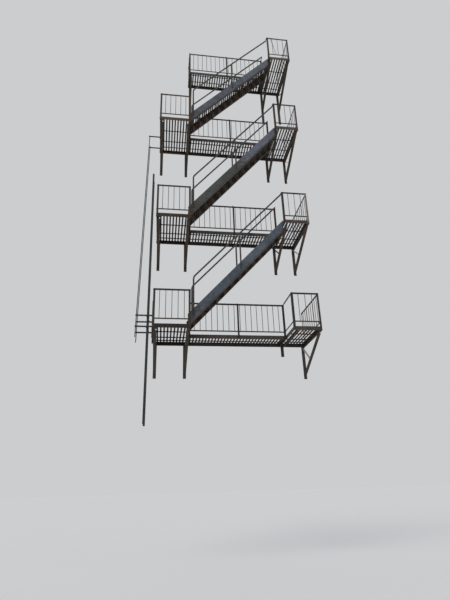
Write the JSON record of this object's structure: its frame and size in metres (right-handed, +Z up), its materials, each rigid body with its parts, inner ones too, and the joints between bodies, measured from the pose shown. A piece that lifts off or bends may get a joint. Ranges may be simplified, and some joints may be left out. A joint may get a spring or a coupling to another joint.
{
  "type": "fire escape stair",
  "caption": "Wall-hung iron fire escape: stacked slatted balconies on brackets, straight flights with handrails, and a drop ladder that slides in guides.",
  "frame": {"origin": "on the flat back face of the lowest left bracket leg, where it lies on the wall", "axes": "+X to the right along the wall, +Y into the wall, +Z up; the stair stands out towards -Y"},
  "size_m": [4.4814, 1.405, 12.1437],
  "materials": {
    "dark_iron": "old dark paint with rust coming through",
    "rusted_iron": "worn brown paint over rust",
    "faded_paint": "faded blue-grey paint, rust along the lower edge",
    "ladder_iron": "dark grey paint, weathered"
  },
  "bodies": {
    "frame": {"floor_left_1": "rusted_iron", "floor_left_2": "rusted_iron", "floor_left_3": "rusted_iron", "floor_walkway_1": "rusted_iron", "floor_walkway_2": "rusted_iron", "floor_walkway_3": "rusted_iron", "floor_walkway_4": "rusted_iron", "floor_right_1": "rusted_iron", "floor_right_2": "rusted_iron", "floor_right_3": "rusted_iron", "floor_right_4": "rusted_iron", "railing_left_1": "dark_iron", "railing_left_2": "dark_iron", "railing_left_3": "dark_iron", "railing_walkway_1": "dark_iron", "railing_walkway_2": "dark_iron", "railing_walkway_3": "dark_iron", "railing_walkway_4": "dark_iron", "railing_right_1": "dark_iron", "railing_right_2": "dark_iron", "railing_right_3": "dark_iron", "railing_right_4": "dark_iron", "end_railings_left": "dark_iron", "end_railings_right": "dark_iron", "brackets_left_1": "dark_iron", "brackets_left_2": "dark_iron", "brackets_left_3": "dark_iron", "bracket_left_4": "dark_iron", "brackets_right_1": "dark_iron", "brackets_right_2": "dark_iron", "brackets_right_3": "dark_iron", "brackets_right_4": "dark_iron", "stringers_1": "faded_paint", "stringers_2": "faded_paint", "stringers_3": "faded_paint", "treads_1": "rusted_iron", "treads_2": "rusted_iron", "treads_3": "rusted_iron", "handrails_1": "dark_iron", "handrails_2": "dark_iron", "handrails_3": "dark_iron", "guide_rods": "dark_iron", "guide_arms": "dark_iron"},
    "drop_ladder": {"ladder_rails": "ladder_iron", "ladder_rungs": "ladder_iron"}
  },
  "joints": [
    {"name": "ladder_slide", "type": "slide", "parent": "frame", "child": "drop_ladder", "axis": [0, 0, -1], "range_m": [0, 2.85]}
  ]
}
